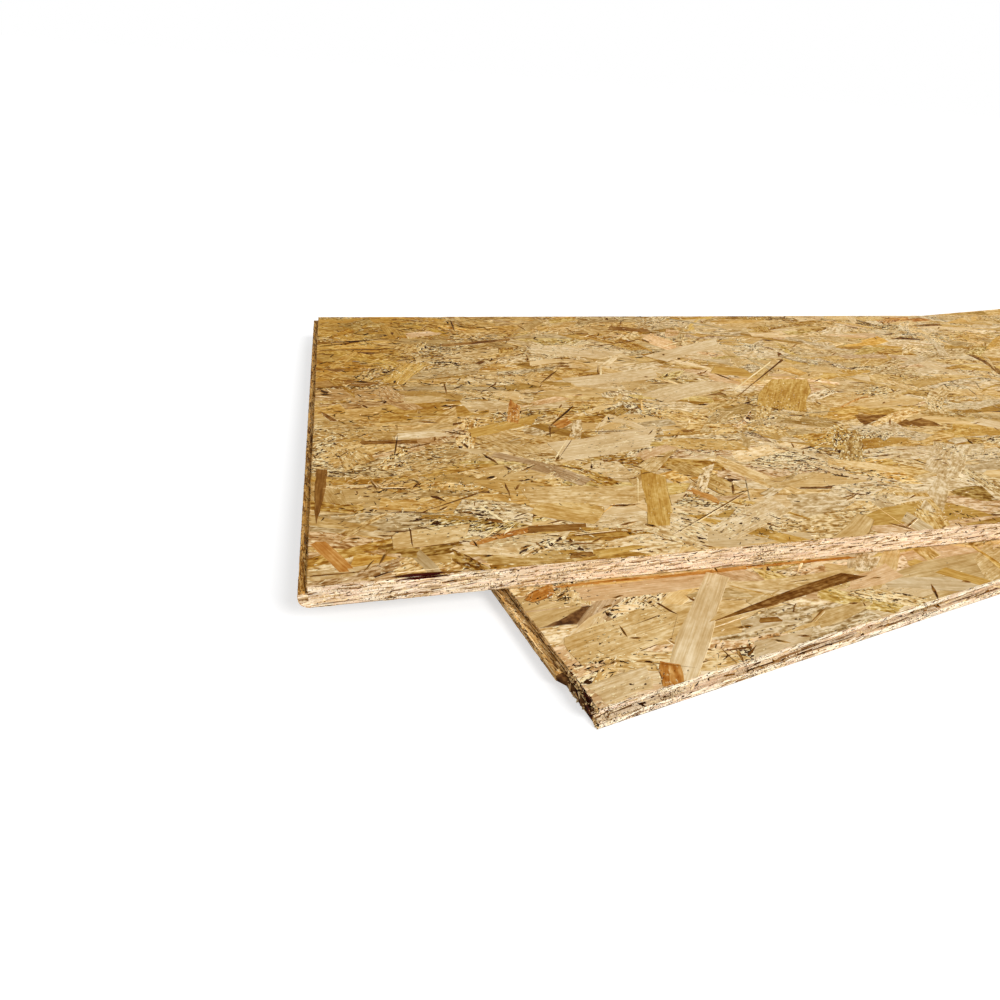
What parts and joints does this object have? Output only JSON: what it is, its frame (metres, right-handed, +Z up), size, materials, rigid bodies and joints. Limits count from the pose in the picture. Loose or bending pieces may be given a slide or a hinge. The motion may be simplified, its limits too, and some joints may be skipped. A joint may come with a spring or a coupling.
{
  "type": "stack of osb panels",
  "caption": "Tongue-and-groove strand-board panels lying one across the other at a small angle, for floors, walls and roofs.",
  "frame": {"origin": "centre of the lower panel's underside, on the floor", "axes": "+Z up, +X along the lower panel from its tongued end to its grooved end"},
  "size_m": [2.6438, 1.2044, 0.0363],
  "materials": {
    "lower_strand_board": "pressed wood strands, sanded faces, milled tongue-and-groove edges",
    "upper_strand_board": "pressed wood strands, sanded faces, milled edges and one square-sawn edge"
  },
  "bodies": {
    "root": {"lower_panel": "lower_strand_board", "upper_panel": "upper_strand_board"}
  },
  "joints": []
}
